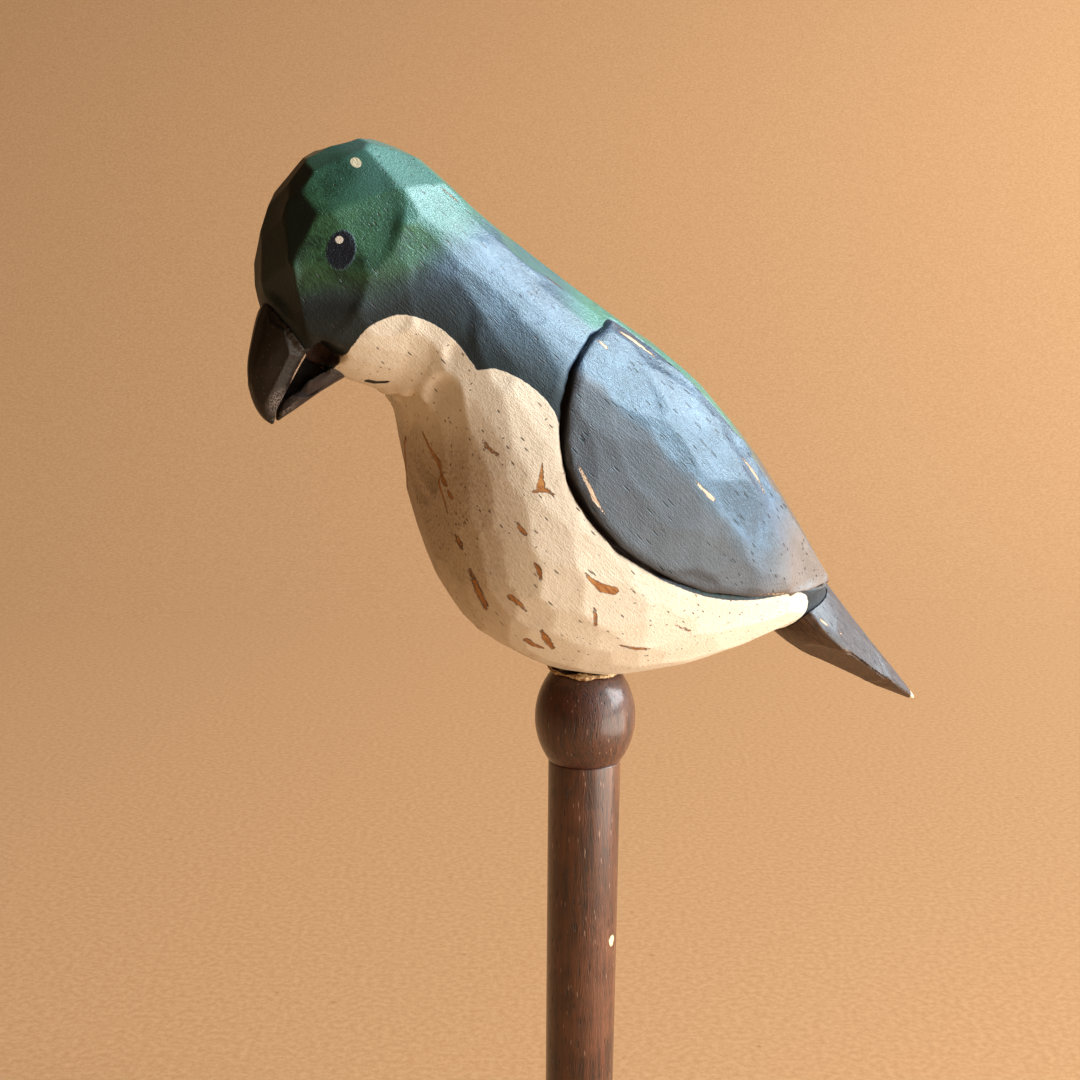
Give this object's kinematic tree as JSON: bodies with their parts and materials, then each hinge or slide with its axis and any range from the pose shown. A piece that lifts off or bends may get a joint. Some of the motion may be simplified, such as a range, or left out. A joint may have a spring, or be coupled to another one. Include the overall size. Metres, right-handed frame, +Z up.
{
  "type": "carved bird figure on a stand",
  "caption": "Hand-carved, painted wooden bird with a bowed head and an open hooked bill, glued on a turned dark wooden post with a ball top and a round foot.",
  "frame": {"origin": "centre of the base's flat underside, on the axis of the post", "axes": "+Z up along the post, the bird faces -X with its tail toward +X, its left side is -Y"},
  "size_m": [0.2093, 0.12, 0.3441],
  "materials": {
    "body_paint": "hand-painted knife-cut wood: green head, blue-black neck and cream breast, with flaked paint that shows tan wood",
    "wing_paint": "hand-painted wood, dark slate blue with a pale blue sheen, worn along its edges",
    "bill_paint": "black satin paint over wood, rubbed through on the cutting edge",
    "tail_paint": "dark grey paint over wood with a worn pale tip and a brown underside",
    "dark_wood": "turned open-pored hardwood with a dark reddish-brown satin stain",
    "bare_wood": "plain unfinished dowel"
  },
  "bodies": {
    "root": {"body": "body_paint", "left_wing": "wing_paint", "right_wing": "wing_paint", "wing_pegs": "bare_wood", "upper_bill": "bill_paint", "lower_bill": "bill_paint", "bill_pegs": "bare_wood", "tail": "tail_paint", "tail_peg": "bare_wood", "ball_collar": "dark_wood", "post": "dark_wood", "base": "dark_wood"}
  },
  "joints": []
}
